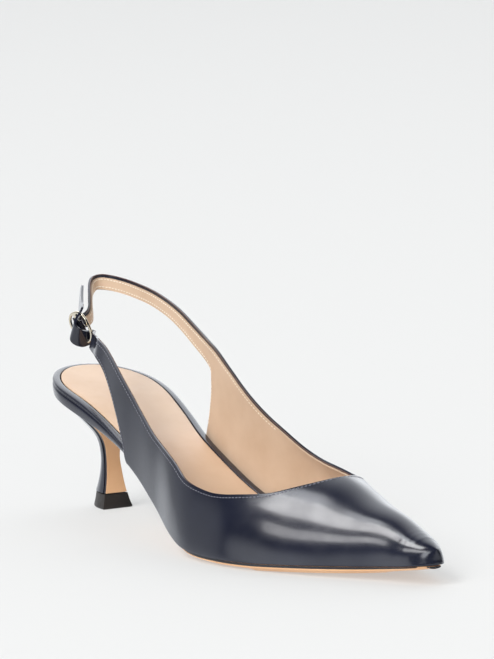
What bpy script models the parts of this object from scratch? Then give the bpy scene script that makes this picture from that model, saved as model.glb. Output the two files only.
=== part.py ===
# Slingback pump with a pointed toe and a low curved heel, right shoe, built piece by piece.
# Metres. +X points to the toe, +Y to the inner (medial) side, +Z up, the floor is z = 0.
# While the pieces are made, x = 0 is the back of the seat and y = 0 the axis of the heel.
# The last step slides the whole shoe so that the origin is the bottom centre of its box.

import math

import bmesh
import bpy
import numpy as np
from mathutils import Matrix, Vector

# Driving dimensions
SHOE_LENGTH = 0.2606        # seat back to toe tip, measured on the insole board
BALL_WIDTH = 0.0730         # driving width of the outline table
SEAT_RISE = 0.0490          # how far the pitch lifts the seat above the forefoot
TOE_SPRING = 0.0046         # lift of the sole under the toe tip
TOE_SWING = 0.0125          # toe tip's offset to the inner side
SEAT_ROUND = 0.0300         # length of the rounded back of the seat
TOE_ROUND = 0.0120          # length of the rounded toe tip
BOARD_TIP = 0.2591          # where the board's outline ends, inside the toe of the shell
LAST_HEIGHT = 0.0800        # driving height of the crown table
TOPLINE_HEIGHT = 0.0790     # driving height of the topline tables
WALL = 0.0016               # upper: leather and lining together
SKIVED = 0.0008             # thinned end of the main strap, round the buckle's bar
BUCKLE_END = 0.0011         # thinned end of the buckle strap, ring and tail
GAP = 0.0003                # clearance between touching pieces
SIDE_GAP = 0.0005           # clearance between the board and the shell, whose facets differ
OUTSOLE_THICK = 0.0028      # forefoot
WAIST_SOLE_THICK = 0.0016   # waist and breast flap
WAIST_SHARE = 0.80          # half width of the waist's sole over the board's
BALL_CHAMFER = (0.0056, 0.0016)     # rounded under-edge behind the ball, width and height
TOE_CHAMFER = (0.0016, 0.0012)      # the same at the toe
BOARD_THICK = 0.0036        # insole board at the waist
SEAT_BAND = 0.0072          # insole board at the seat
FOREPART_BOARD = 0.0024     # insole board inside the vamp
RIM_WIDTH = 0.0034          # covered rim round the sock
SOCK_THICK = 0.0010
SOCK_RECESS = 0.0009        # how deep the sock lies in the board
TOP_PIECE_HEIGHT = 0.0062
HEEL_WIDTH = 0.0140         # top piece, where it meets the floor
HEEL_DEPTH = 0.0160
BREAST_AT = 0.0314          # x of the heel's flat front
STRAP_WIDTH = 0.0065
STRAP_HEIGHT = 0.0930       # mid line of the strap at the back
STRAP_HALF = 0.0160         # driving half width of the strap's path
RING_LENGTH = 0.0122        # buckle frame between wire centres, along the strap
RING_HEIGHT = 0.0132        # buckle frame between wire centres, across the strap
RING_WIRE = 0.0007
PRONG_WIRE = 0.00055

# Outline of the insole board: x / SHOE_LENGTH, centre / TOE_SWING, half width / BALL_WIDTH
OUTLINE = [
    (0.000, 0.00, 0.310), (0.115, 0.07, 0.322), (0.230, -0.04, 0.293), (0.345, -0.36, 0.270),
    (0.460, -0.43, 0.308), (0.545, -0.28, 0.400), (0.610, -0.06, 0.462), (0.670, 0.10, 0.472),
    (0.730, 0.24, 0.436), (0.800, 0.40, 0.345), (0.880, 0.66, 0.215), (0.945, 0.88, 0.118),
    (1.000, 1.00, 0.080),
]
# Underside of the sole: x / SHOE_LENGTH, share of SEAT_RISE, share of TOE_SPRING
PROFILE = [
    (0.000, 0.978, 0.0), (0.115, 0.841, 0.0), (0.230, 0.694, 0.0), (0.307, 0.596, 0.0),
    (0.345, 0.530, 0.0), (0.400, 0.405, 0.0), (0.460, 0.250, 0.0), (0.520, 0.112, 0.0),
    (0.575, 0.026, 0.0), (0.610, 0.0, 0.0), (0.710, 0.0, 0.0), (0.787, 0.0, 0.16),
    (0.900, 0.0, 0.50), (1.000, 0.0, 1.0),
]
# Crown of the last: x / SHOE_LENGTH, height over the feather / LAST_HEIGHT, fullness of the section
CROWN = [
    (0.300, 1.100, 2.3), (0.385, 1.000, 2.3), (0.460, 0.860, 2.3), (0.540, 0.680, 2.3),
    (0.615, 0.530, 2.15), (0.710, 0.468, 1.94), (0.798, 0.396, 1.57), (0.863, 0.295, 1.70),
    (0.916, 0.232, 1.81), (0.965, 0.145, 1.95), (0.990, 0.112, 2.1), (1.000, 0.085, 2.2),
]
# Insole board: x / SHOE_LENGTH, share of SEAT_BAND, share of BOARD_THICK, share of FOREPART_BOARD
BOARD = [
    (0.000, 1.0, 0.0, 0.0), (0.150, 1.0, 0.0, 0.0), (0.310, 0.0, 1.0, 0.0), (0.450, 0.0, 1.0, 0.0),
    (0.560, 0.0, 0.0, 1.0), (1.000, 0.0, 0.0, 1.0),
]
THROAT = 0.798              # x / SHOE_LENGTH where both toplines meet on the crown
# Topline: x / SHOE_LENGTH, outer side / TOPLINE_HEIGHT, inner side / TOPLINE_HEIGHT
TOPLINE = [
    (0.200, 0.995, 1.090), (0.250, 0.945, 1.030), (0.313, 0.828, 0.975), (0.361, 0.724, 0.922),
    (0.395, 0.652, 0.850), (0.451, 0.550, 0.718), (0.490, 0.506, 0.634), (0.531, 0.455, 0.537),
    (0.576, 0.381, 0.455), (0.610, 0.344, 0.427), (0.650, 0.344, 0.401), (0.690, 0.354, 0.378),
    (0.730, 0.368, 0.395), (0.765, 0.408, 0.425), (0.798, 0.451, 0.451),
]
# Wings, from the vamp to the strap: x / SHOE_LENGTH of the topline, x / SHOE_LENGTH of the lower
# edge, and that edge's height / TOPLINE_HEIGHT, where 0 stands for the feather line
OUTER_WING = [
    (0.640, 0.640, 0.0), (0.576, 0.568, 0.0), (0.526, 0.505, 0.0), (0.451, 0.432, 0.0),
    (0.395, 0.383, 0.0), (0.361, 0.345, 0.0), (0.336, 0.330, 0.480), (0.312, 0.311, 0.592),
    (0.284, 0.290, 0.702), (0.258, 0.264, 0.808), (0.232, 0.236, 0.876),
]
INNER_WING = [
    (0.640, 0.640, 0.0), (0.576, 0.560, 0.0), (0.514, 0.480, 0.0), (0.472, 0.410, 0.0),
    (0.437, 0.350, 0.0), (0.413, 0.303, 0.0), (0.394, 0.316, 0.505), (0.377, 0.328, 0.605),
    (0.360, 0.338, 0.710), (0.340, 0.338, 0.810),
]
# Main strap from the inner wing round the back to the buckle's bar:
# x / SHOE_LENGTH, y / STRAP_HALF, mid height / STRAP_HEIGHT, width / STRAP_WIDTH
MAIN_STRAP = [
    (0.292, 1.02, 0.808, 1.18), (0.225, 1.04, 0.890, 1.05), (0.160, 1.01, 0.943, 1.00),
    (0.103, 0.89, 0.974, 1.00), (0.065, 0.69, 0.992, 1.00), (0.045, 0.42, 1.000, 1.00),
    (0.044, 0.16, 0.996, 0.94), (0.060, -0.10, 0.974, 0.92), (0.085, -0.335, 0.934, 0.92),
    (0.117, -0.64, 0.878, 0.95),
]
# Buckle strap from the outer wing to the ring
BUCKLE_STRAP = [(0.208, -1.29, 0.803, 1.00), (0.190, -1.19, 0.826, 0.98)]
# Tail beyond the ring, outside the main strap
TAIL = [(0.110, -0.81, 0.885, 0.98), (0.0817, -0.475, 0.936, 0.95), (0.0565, -0.275, 0.980, 0.80)]
# Outer faces of both straps inside the ring, as shares of RING_LENGTH:
# ahead of the bar, out of the ring's plane, along the bar
OVER_BAR = [
    (0.525, -0.094, -0.060), (0.443, -0.086, -0.050), (0.389, -0.029, -0.050), (0.344, 0.074, -0.060),
    (0.262, 0.180, -0.080), (0.131, 0.254, -0.100), (0.000, 0.272, -0.105), (-0.131, 0.254, -0.095),
    (-0.254, 0.172, -0.065), (-0.344, 0.066, -0.030), (-0.393, -0.033, 0.005), (-0.459, -0.094, 0.040),
    (-0.590, -0.123, 0.110),
]
ROUND_BAR = [
    (-0.607, -0.254, 0.110), (-0.459, -0.225, 0.055), (-0.303, -0.164, 0.010), (-0.213, -0.016, -0.020),
    (-0.131, 0.098, -0.028), (0.000, 0.149, -0.028), (0.107, 0.102, -0.028), (0.149, 0.000, -0.028),
    (0.107, -0.102, -0.028), (0.000, -0.149, -0.028), (-0.098, -0.172, -0.028),
]
# Outsole: x / SHOE_LENGTH against how far the forefoot's thickness, its outline and the toe's narrow
# chamfer have taken over
SOLE_THICKENS = [(0.40, 0.0), (0.58, 1.0)]
SOLE_WIDENS = [(0.33, 0.0), (0.56, 1.0)]
CHAMFER_SHRINKS = [(0.50, 0.0), (0.58, 0.15), (0.72, 0.88), (0.80, 1.0)]
# Heel block, floor to seat: height share, breast offset / HEEL_DEPTH, half width / HEEL_WIDTH,
# depth / HEEL_DEPTH, share of the seat's slope
HEEL = [
    (0.000, -0.080, 0.386, 0.78, 0.0), (0.094, -0.105, 0.330, 0.64, 0.0), (0.246, -0.145, 0.275, 0.46, 0.0),
    (0.400, -0.200, 0.245, 0.36, 0.0), (0.560, -0.190, 0.300, 0.41, 0.02), (0.660, -0.130, 0.450, 0.52, 0.10),
    (0.740, -0.070, 0.640, 0.74, 0.22), (0.820, 0.000, 0.880, 1.06, 0.42), (0.900, 0.070, 1.140, 1.42, 0.72),
    (0.960, 0.120, 1.330, 1.74, 0.90), (1.000, 0.150, 1.440, 1.96, 1.0),
]

# Mesh density
SIDE_STATIONS = 34
WALL_ROWS = 8
VAMP_STATIONS = 15
STRAP_SPAN = 3
D_STEPS = 14


def clear_scene():
    for item in list(bpy.data.objects):
        bpy.data.objects.remove(item, do_unlink=True)


def smooth(table, column, at):
    """Monotone cubic through one column of a table whose first column is the position."""
    xs = np.array([row[0] for row in table])
    ys = np.array([row[column] for row in table])
    at = min(max(at, xs[0]), xs[-1])
    steps = np.diff(xs)
    grades = np.diff(ys) / steps
    slopes = np.zeros(len(xs))
    slopes[0], slopes[-1] = grades[0], grades[-1]
    for i in range(1, len(xs) - 1):
        if grades[i - 1] * grades[i] > 0:
            before = 2 * steps[i] + steps[i - 1]
            after = steps[i] + 2 * steps[i - 1]
            slopes[i] = (before + after) / (before / grades[i - 1] + after / grades[i])
    i = min(int(np.searchsorted(xs, at, side="right")) - 1, len(xs) - 2)
    t = (at - xs[i]) / steps[i]
    return float((1 + 2 * t) * (1 - t) ** 2 * ys[i] + t * (1 - t) ** 2 * steps[i] * slopes[i]
                 + t * t * (3 - 2 * t) * ys[i + 1] + t * t * (t - 1) * steps[i] * slopes[i + 1])


def half_width(x):
    half = smooth(OUTLINE, 2, x / SHOE_LENGTH) * BALL_WIDTH
    if x < SEAT_ROUND:
        half *= math.sqrt(max(0.0, 1 - ((SEAT_ROUND - x) / SEAT_ROUND) ** 2.1))
    past = x - (BOARD_TIP - TOE_ROUND)
    if past > 0:
        half *= math.sqrt(max(0.0, 1 - (past / TOE_ROUND) ** 2))
    return half


def centre(x):
    return smooth(OUTLINE, 1, x / SHOE_LENGTH) * TOE_SWING


def ground(x):
    share = x / SHOE_LENGTH
    return smooth(PROFILE, 1, share) * SEAT_RISE + smooth(PROFILE, 2, share) * TOE_SPRING


def shell_outline():
    """The board's half outline moved outwards, square to itself, by the gap and the wall."""
    xs, halves = [], []
    step, out = 1e-4, SIDE_GAP + WALL
    for i in range(401):
        x = BOARD_TIP * (0.08 + 0.92 * math.sin(math.pi / 2 * i / 400))
        slope = (half_width(min(x + step, BOARD_TIP)) - half_width(x - step)) / (2 * step)
        size = math.hypot(slope, 1.0)
        if i < 400:
            xs.append(x - out * slope / size)
            halves.append(half_width(x) + out / size)
    return xs + [BOARD_TIP + out], halves + [0.0]


def shell_half(x):
    return float(np.interp(x, *SHELL))


def feather(x):
    """Underside of the insole board."""
    return ground(x) + OUTSOLE_THICK + GAP


def board_thick(x):
    share = x / SHOE_LENGTH
    return (smooth(BOARD, 1, share) * SEAT_BAND + smooth(BOARD, 2, share) * BOARD_THICK
            + smooth(BOARD, 3, share) * FOREPART_BOARD)


def section_point(x, side, angle):
    """Outer face of the upper at a station: angle 0 is the feather line, 90 degrees the crown."""
    fullness = smooth(CROWN, 2, x / SHOE_LENGTH)
    high = smooth(CROWN, 1, x / SHOE_LENGTH) * LAST_HEIGHT
    reach = shell_half(x) * max(math.cos(angle), 0.0) ** (2 / fullness)
    return Vector((x, centre(x) + side * reach, feather(x) + high * math.sin(angle) ** (2 / fullness)))


def angle_at_height(x, z):
    fullness = smooth(CROWN, 2, x / SHOE_LENGTH)
    high = smooth(CROWN, 1, x / SHOE_LENGTH) * LAST_HEIGHT
    share = min(max((z - feather(x)) / high, 0.0), 1.0)
    return math.asin(share ** (fullness / 2))


def topline(x, side):
    column = 1 if side < 0 else 2
    return smooth(TOPLINE, column, x / SHOE_LENGTH) * TOPLINE_HEIGHT


def make_object(name, verts, faces, material, smooth_angle=40.0):
    mesh = bpy.data.meshes.new(name)
    mesh.from_pydata([tuple(v) for v in verts], [], faces)
    work = bmesh.new()
    work.from_mesh(mesh)
    bmesh.ops.remove_doubles(work, verts=work.verts, dist=1e-6)
    bmesh.ops.dissolve_degenerate(work, edges=work.edges, dist=1e-6)
    loose = [vert for vert in work.verts if not vert.link_faces]
    bmesh.ops.delete(work, geom=loose, context="VERTS")
    bmesh.ops.recalc_face_normals(work, faces=work.faces)
    work.to_mesh(mesh)
    work.free()
    mesh.shade_smooth()
    mesh.set_sharp_from_angle(angle=math.radians(smooth_angle))
    mesh.materials.append(material)
    piece = bpy.data.objects.new(name, mesh)
    shoe.objects.link(piece)
    return piece


def grid_faces(rows, columns, start=0):
    faces = []
    for i in range(rows - 1):
        for j in range(columns - 1):
            a = start + i * columns + j
            faces.append((a, a + 1, a + 1 + columns, a + columns))
    return faces


def loft(name, rings, material, smooth_angle=40.0):
    """Closed body through rings of equal length, with both ends filled."""
    count = len(rings[0])
    verts = [point for ring in rings for point in ring]
    faces = []
    for i in range(len(rings) - 1):
        for j in range(count):
            k = (j + 1) % count
            faces.append((i * count + j, i * count + k, (i + 1) * count + k, (i + 1) * count + j))
    faces.append(tuple(range(count)))
    faces.append(tuple((len(rings) - 1) * count + j for j in range(count)))
    return make_object(name, verts, faces, material, smooth_angle)


def stations(start, end, count, round_start, round_end):
    """Positions along the shoe, closer together where an end is rounded."""
    spots = []
    for i in range(count + 1):
        t = i / count
        if round_start and round_end:
            t = (1 - math.cos(math.pi * t)) / 2 * 0.75 + t * 0.25
        elif round_start:
            t = (1 - math.cos(math.pi / 2 * t)) * 0.8 + t * 0.2
        elif round_end:
            t = math.sin(math.pi / 2 * t) * 0.8 + t * 0.2
        spots.append(start + (end - start) * t)
    return spots


def inset_outline(spots, inset):
    """Half outline moved inwards, square to itself: (x, half width) for each station."""
    line = []
    for i, x in enumerate(spots):
        half = half_width(x)
        if half < 1e-5:
            line.append((x + inset if i == 0 else x - inset, 0.0))
            continue
        step = 1e-4
        behind, ahead = max(x - step, 0.0), min(x + step, BOARD_TIP)
        slope = (half_width(ahead) - half_width(behind)) / (ahead - behind)
        size = math.hypot(slope, 1.0)
        line.append((x + inset * slope / size, max(half - inset / size, 0.0)))
    return line


def slab(name, spots, layers, material, smooth_angle=50.0, columns=4):
    """Body from stacked outlines. A layer is an inset and the height of its outline at x."""
    verts, faces, grids = [], [], []
    for inset, height in layers:
        grid = []
        for x, half in inset_outline(spots, inset):
            row = []
            for c in range(columns + 1):
                row.append(len(verts))
                verts.append(Vector((x, centre(x) + half * (2 * c / columns - 1), height(x))))
            grid.append(row)
        grids.append(grid)
    loops = []
    for grid in grids:
        loop = [row[0] for row in grid] + grid[-1][1:-1]
        loop += [row[-1] for row in reversed(grid)] + list(reversed(grid[0][1:-1]))
        loops.append(loop)
    for low, high in zip(loops, loops[1:]):
        for j in range(len(low)):
            k = (j + 1) % len(low)
            faces.append((low[j], low[k], high[k], high[j]))
    for grid in (grids[0], grids[-1]):
        for a, b in zip(grid, grid[1:]):
            for c in range(columns):
                faces.append((a[c], a[c + 1], b[c + 1], b[c]))
    return make_object(name, verts, faces, material, smooth_angle)


def constant(value):
    return lambda x: value


def build_insole(material):
    """Covered board: a band, a groove, a rolled rim, and a shallow recess for the sock."""
    edge = 0.0012
    groove = 0.0006

    def at(share, drop=0.0):
        return lambda x: feather(x) + board_thick(x) * share - drop

    layers = [
        (edge, at(0.0)),
        (edge * 0.25, at(0.10)),
        (0.0, at(0.30)),
        (0.0, at(0.60)),
        (groove, at(0.70)),
        (0.0, at(0.82)),
        (edge * 0.25, at(0.93)),
        (edge, at(1.0)),
        (RIM_WIDTH - edge * 0.3, at(1.0)),
        (RIM_WIDTH, at(1.0, SOCK_RECESS)),
    ]
    spots = stations(0.0, BOARD_TIP, SIDE_STATIONS, True, True)
    return slab("insole", spots, layers, material)


def build_sock(material):
    """Thin leather sock lying in the board's recess."""
    inset = RIM_WIDTH + GAP

    def height(lift):
        return lambda x: feather(x) + board_thick(x) - SOCK_RECESS + GAP + lift

    layers = [
        (inset, height(0.0)),
        (inset, height(SOCK_THICK * 0.6)),
        (inset + SOCK_THICK * 0.6, height(SOCK_THICK)),
    ]
    spots = stations(0.0, BOARD_TIP * 0.90, SIDE_STATIONS, True, False)
    return slab("sock", spots, layers, material)


def sole_thick(x):
    """Forefoot thickness, thinned towards the waist and the heel."""
    blend = smooth(SOLE_THICKENS, 1, x / SHOE_LENGTH)
    return WAIST_SOLE_THICK + (OUTSOLE_THICK - WAIST_SOLE_THICK) * blend


def sole_half(x):
    """Outsole edge: flush under the upper in the forepart, well inside the board at the waist."""
    forepart = half_width(x) + WALL * 0.6
    waist = half_width(x) * WAIST_SHARE
    blend = smooth(SOLE_WIDENS, 1, x / SHOE_LENGTH)
    return waist + (forepart - waist) * blend


def sole_chamfer(x):
    """Width and height of the rounded under-edge: small at the toe, wide behind the ball."""
    blend = smooth(CHAMFER_SHRINKS, 1, x / SHOE_LENGTH)
    return tuple(ball + (toe - ball) * blend for ball, toe in zip(BALL_CHAMFER, TOE_CHAMFER))


def strip_row(front, back, half_front, half_back, edge, columns):
    """One closed section of the sole strip: underside, the two side edges and the top."""
    row = [front + Vector((0, half_front * (2 * c / columns - 1), 0)) for c in range(columns + 1)]
    row.append(front.lerp(back, edge) + Vector((0, half_back, 0)))
    row += [back + Vector((0, half_back * (1 - 2 * c / columns), 0)) for c in range(columns + 1)]
    row.append(front.lerp(back, edge) - Vector((0, half_back, 0)))
    return row


def build_outsole(material):
    """One strip of sole leather: forefoot, waist, then down the heel's breast to the top piece."""
    columns = 4
    turn = WAIST_SOLE_THICK * 2.4
    rings = []
    for x in reversed(stations(BREAST_AT + turn, BOARD_TIP + WALL * 0.8, 30, False, True)):
        inside = min(x, BOARD_TIP - 0.0004)
        half = sole_half(inside)
        top = feather(inside) - GAP
        thick = sole_thick(inside)
        wide, high = sole_chamfer(inside)
        wide = min(wide, half * 0.6)
        high = min(high, thick * 0.7)
        rings.append(strip_row(Vector((x, centre(inside), top - thick)), Vector((x, centre(inside), top)),
                               half - wide, half, high / thick, columns))
    seat_z = feather(BREAST_AT) - GAP
    low = TOP_PIECE_HEIGHT + GAP
    for share in (0.93, 0.87, 0.80, 0.74, 0.66, 0.56, 0.48, 0.40, 0.32, 0.246, 0.17, 0.094, 0.04, 0.0):
        z = low + (seat_z - low) * share
        breast = heel_breast(share) + GAP
        half = smooth(HEEL, 2, share) * HEEL_WIDTH - GAP
        rings.append(strip_row(Vector((breast + WAIST_SOLE_THICK, 0, z)), Vector((breast, 0, z)),
                               half, half, 0.5, columns))
    return loft("outsole", rings, material)


def heel_breast(share):
    return BREAST_AT + smooth(HEEL, 1, share) * HEEL_DEPTH


def d_section(front, half, depth, height):
    """Flat front, rounded back; height is a function of x."""
    ring = []
    corner = 0.92
    for step in range(D_STEPS + 1):
        angle = math.pi * step / D_STEPS
        x = front - depth * math.sin(angle) ** 0.9
        ring.append(Vector((x, half * math.cos(angle), height(x))))
    middle = Vector((front, 0.0, height(front)))
    ring.append(Vector((front, -half * corner * 0.5, height(front))))
    ring.append(middle)
    ring.append(Vector((front, half * corner * 0.5, height(front))))
    return ring


def build_heel(material):
    low = TOP_PIECE_HEIGHT + GAP
    front_z = feather(heel_breast(1.0)) - GAP
    rings = []
    for share, _, half, depth, slope in HEEL:
        front = heel_breast(share)
        z = low + (front_z - low) * share

        def height(x, z=z, slope=slope, front=front):
            lift = feather(x) - GAP - front_z
            return z + slope * lift if slope > 0 else z

        rings.append(d_section(front, half * HEEL_WIDTH, depth * HEEL_DEPTH, height))
    return loft("heel", rings, material, 60.0)


def build_top_piece(material):
    # height share, half width / HEEL_WIDTH, depth / HEEL_DEPTH, front offset / HEEL_DEPTH
    flare = [(0.0, 0.480, 1.00, 0.100), (0.10, 0.500, 1.03, 0.107), (0.45, 0.440, 0.955, 0.070),
             (1.0, 0.388, 0.890, 0.035)]
    rings = []
    for share, half, depth, front in flare:
        z = TOP_PIECE_HEIGHT * share
        rings.append(d_section(BREAST_AT + front * HEEL_DEPTH, half * HEEL_WIDTH, depth * HEEL_DEPTH, constant(z)))
    return loft("top_piece", rings, material)


def spline_through(points, per_span, lead):
    """Catmull-Rom curve through the points, with the ends included; lead sets the start's direction."""
    spots = [lead] + list(points) + [points[-1] * 2 - points[-2]]
    line = []
    for i in range(1, len(spots) - 2):
        a, b, c, d = spots[i - 1:i + 3]
        for step in range(per_span):
            t = step / per_span
            line.append(0.5 * ((2 * b) + (c - a) * t + (2 * a - 5 * b + 4 * c - d) * t * t
                               + (3 * b - a - 3 * c + d) * t * t * t))
    line.append(points[-1])
    return line


def ring_frame():
    """Centre and axes of the buckle frame: forward along the strap, outward, and across it."""
    turn, rise, lean = math.radians(4), math.radians(15), math.radians(18)
    middle = Vector((0.1555 * SHOE_LENGTH, -1.19 * STRAP_HALF, 0.846 * STRAP_HEIGHT))
    along = Vector((math.cos(turn) * math.cos(rise), math.sin(turn) * math.cos(rise), math.sin(rise)))
    level = Vector((math.sin(turn), -math.cos(turn), 0.0))
    upright = level.cross(along)
    upright = upright if upright.z > 0 else -upright
    across = upright * math.cos(lean) + level * math.sin(lean)
    outward = level * math.cos(lean) - upright * math.sin(lean)
    return middle, along, outward, across


def ring_spot(ahead, out, rise=0.0):
    """A point in the ring's own frame: ahead of the bar, out of its plane, and along the bar."""
    middle, along, outward, across = ring_frame()
    return middle + along * ahead + outward * out + across * rise


def strap_rows(table):
    return [(Vector((x * SHOE_LENGTH, y * STRAP_HALF, z * STRAP_HEIGHT)), w * STRAP_WIDTH, None)
            for x, y, z, w in table]


def strap_edges(rows, lead):
    """Upper and lower edge points of a strap. A row is its mid point, width and own cross line."""
    edges = []
    for i, (point, width, across) in enumerate(rows):
        up = across
        if up is None:
            before = rows[i - 1][0] if i else lead
            after = rows[i + 1][0] if i + 1 < len(rows) else point
            ahead = (after - before).normalized()
            level = Vector((ahead.y, -ahead.x, 0.0)).normalized()
            up = ahead.cross(level)
            up = up.normalized() if up.z > 0 else -up.normalized()
        edges.append((point + up * width / 2, point - up * width / 2))
    return edges


def wing_rungs(table, side):
    """Upper and lower edge points of one wing, on the last's own surface."""
    rungs = []
    for top_share, low_share, low_height in table:
        top_x, low_x = top_share * SHOE_LENGTH, low_share * SHOE_LENGTH
        top = section_point(top_x, side, angle_at_height(top_x, topline(top_x, side)))
        low_angle = angle_at_height(low_x, low_height * TOPLINE_HEIGHT) if low_height else 0.0
        rungs.append((top, section_point(low_x, side, low_angle)))
    return rungs


def wall_row(top, low, side, bulge):
    """Points from the lower edge to the upper edge, following the last where the two lie on it."""
    row = []
    for j in range(WALL_ROWS + 1):
        t = j / WALL_ROWS
        point = low.lerp(top, t)
        if bulge > 0:
            on_last = section_point(point.x, side, angle_at_height(point.x, point.z))
            point = point.lerp(Vector((point.x, on_last.y, point.z)), bulge)
        row.append(point)
    return row


def ring_rows(table, width):
    """Strap rows from a table in the ring's own frame, as shares of RING_LENGTH."""
    across = ring_frame()[3]
    return [(ring_spot(*(share * RING_LENGTH for share in spot)), width, across) for spot in table]


def buckle_strap_path():
    """From the outer wing, under the front rim, over the bar, under the rear rim, then the tail."""
    return strap_rows(BUCKLE_STRAP) + ring_rows(OVER_BAR, STRAP_WIDTH) + strap_rows(TAIL)


def main_strap_path():
    """From the inner wing round the back, under the rear rim, then round the bar and back."""
    return strap_rows(MAIN_STRAP) + ring_rows(ROUND_BAR, STRAP_WIDTH * 0.94)


def build_upper(material):
    """One hollow shell: vamp, both wings and both straps, open at the throat, heel and below."""
    verts, faces, weights = [], [], []
    # vamp, from the throat to the toe tip, both sides sharing the crown
    length = SHELL[0][-1] - SHOE_LENGTH * THROAT
    for side in (-1, 1):
        start = len(verts)
        for i in range(VAMP_STATIONS + 1):
            x = SHOE_LENGTH * THROAT + length * math.sin(math.pi / 2 * i / VAMP_STATIONS)
            for j in range(WALL_ROWS + 1):
                verts.append(section_point(x, side, math.pi / 2 * j / WALL_ROWS))
        faces += grid_faces(VAMP_STATIONS + 1, WALL_ROWS + 1, start)
        # quarter, from the throat back to the wing
        start = len(verts)
        table = OUTER_WING if side < 0 else INNER_WING
        first = table[0][0] * SHOE_LENGTH
        throat = SHOE_LENGTH * THROAT
        count = 10
        for i in range(count):
            t = (i / count) ** 1.8
            x = throat + (first - throat) * t
            top = angle_at_height(x, topline(x, side)) if i else math.pi / 2
            for j in range(WALL_ROWS + 1):
                verts.append(section_point(x, side, top * j / WALL_ROWS))
        faces += grid_faces(count, WALL_ROWS + 1, start)
        join_row = start + (count - 1) * (WALL_ROWS + 1)
        # wing and strap as one ladder of rungs
        rungs = wing_rungs(table, side)
        path = buckle_strap_path() if side < 0 else main_strap_path()
        on_last = len(rungs)
        rungs += strap_edges(path, (rungs[-1][0] + rungs[-1][1]) / 2)
        lead_x = (2 * table[0][0] - table[1][0]) * SHOE_LENGTH
        lead_top = section_point(lead_x, side, angle_at_height(lead_x, topline(lead_x, side)))
        tops = spline_through([rung[0] for rung in rungs], STRAP_SPAN, lead_top)
        lows = spline_through([rung[1] for rung in rungs], STRAP_SPAN, section_point(lead_x, side, 0.0))
        start = len(verts)
        weights += [1.0] * (start - len(weights))
        past_wing = on_last + (len(MAIN_STRAP) if side > 0 else len(BUCKLE_STRAP))
        thin_end = SKIVED if side > 0 else BUCKLE_END
        for i, (top, low) in enumerate(zip(tops, lows)):
            place = i / STRAP_SPAN
            bulge = min(max((on_last - 3.0 - place) / 2.0 + 1.0, 0.0), 1.0)
            share = min(max(place - past_wing + 1.0, 0.0), 1.0)
            weight = 1.0 + (thin_end / WALL - 1.0) * share
            weights += [weight] * (WALL_ROWS + 1)
            verts.extend(wall_row(top, low, side, bulge))
        for j in range(WALL_ROWS):
            a, b = join_row + j, start + j
            faces.append((a, a + 1, b + 1, b))
        faces += grid_faces(len(tops), WALL_ROWS + 1, start)
    # stitch both halves along the crown and give the sheet its wall
    mesh = bpy.data.meshes.new("upper")
    mesh.from_pydata([tuple(v) for v in verts], [], faces)
    piece = bpy.data.objects.new("upper", mesh)
    shoe.objects.link(piece)
    group = piece.vertex_groups.new(name="full_wall")
    for i, weight in enumerate(weights):
        group.add([i], weight, "REPLACE")
    work = bmesh.new()
    work.from_mesh(mesh)
    bmesh.ops.remove_doubles(work, verts=work.verts, dist=1e-6)
    bmesh.ops.dissolve_degenerate(work, edges=work.edges, dist=1e-6)
    bmesh.ops.recalc_face_normals(work, faces=work.faces)
    crown = max(work.faces, key=lambda face: face.calc_center_median().x)
    if crown.normal.x < 0:
        bmesh.ops.reverse_faces(work, faces=work.faces)
    work.to_mesh(mesh)
    work.free()
    wall = piece.modifiers.new("wall", "SOLIDIFY")
    wall.thickness = WALL
    wall.offset = -1.0
    wall.vertex_group = "full_wall"
    mesh.shade_smooth()
    mesh.materials.append(material)
    return piece


def build_buckle_frame(material):
    """Oval ring with a bar across its middle."""
    middle, along, outward, across = ring_frame()
    rings = []
    steps, sides = 32, 8
    for i in range(steps):
        angle = 2 * math.pi * i / steps
        a = math.copysign(abs(math.cos(angle)) ** 0.8, math.cos(angle))
        b = math.copysign(abs(math.sin(angle)) ** 0.8, math.sin(angle))
        spot = middle + along * a * RING_LENGTH / 2 + across * b * RING_HEIGHT / 2
        out = (along * math.cos(angle) / RING_LENGTH + across * math.sin(angle) / RING_HEIGHT).normalized()
        rings.append([spot + (out * math.cos(2 * math.pi * j / sides)
                              + outward * math.sin(2 * math.pi * j / sides)) * RING_WIRE
                      for j in range(sides)])
    verts = [point for ring in rings for point in ring]
    faces = []
    for i in range(steps):
        for j in range(sides):
            a, b = i * sides + j, i * sides + (j + 1) % sides
            c, d = ((i + 1) % steps) * sides + (j + 1) % sides, ((i + 1) % steps) * sides + j
            faces.append((a, b, c, d))
    frame = make_object("buckle_frame", verts, faces, material)
    ends = [middle + across * side * RING_HEIGHT / 2 for side in (-1, 1)]
    bar = rod("bar_core", ends[0], ends[1], RING_WIRE * 0.9, None, cutters)
    bar.hide_render = True
    bar.display_type = "WIRE"
    join = frame.modifiers.new("bar", "BOOLEAN")
    join.operation = "UNION"
    join.object = bar
    return frame


def prong_ends():
    """From just ahead of the bar, through the strap, to rest on the front rim."""
    rest = RING_WIRE + GAP + PRONG_WIRE
    start = RING_WIRE + GAP + SKIVED + GAP
    return ring_spot(start + PRONG_WIRE, 0.0, 0.0), ring_spot(0.56 * RING_LENGTH, rest, 0.0006)


def rod(name, start, end, radius, material, group, segments=10):
    middle = (start + end) / 2
    ahead = end - start
    bpy.ops.mesh.primitive_cylinder_add(vertices=segments, radius=radius, depth=ahead.length)
    piece = bpy.context.object
    piece.name = name
    piece.data.name = name
    turn = Vector((0, 0, 1)).rotation_difference(ahead.normalized())
    piece.data.transform(Matrix.Translation(middle) @ turn.to_matrix().to_4x4())
    for owner in list(piece.users_collection):
        owner.objects.unlink(piece)
    group.objects.link(piece)
    if material:
        piece.data.materials.append(material)
        piece.data.shade_smooth()
        piece.data.set_sharp_from_angle(angle=math.radians(40))
    return piece


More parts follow.
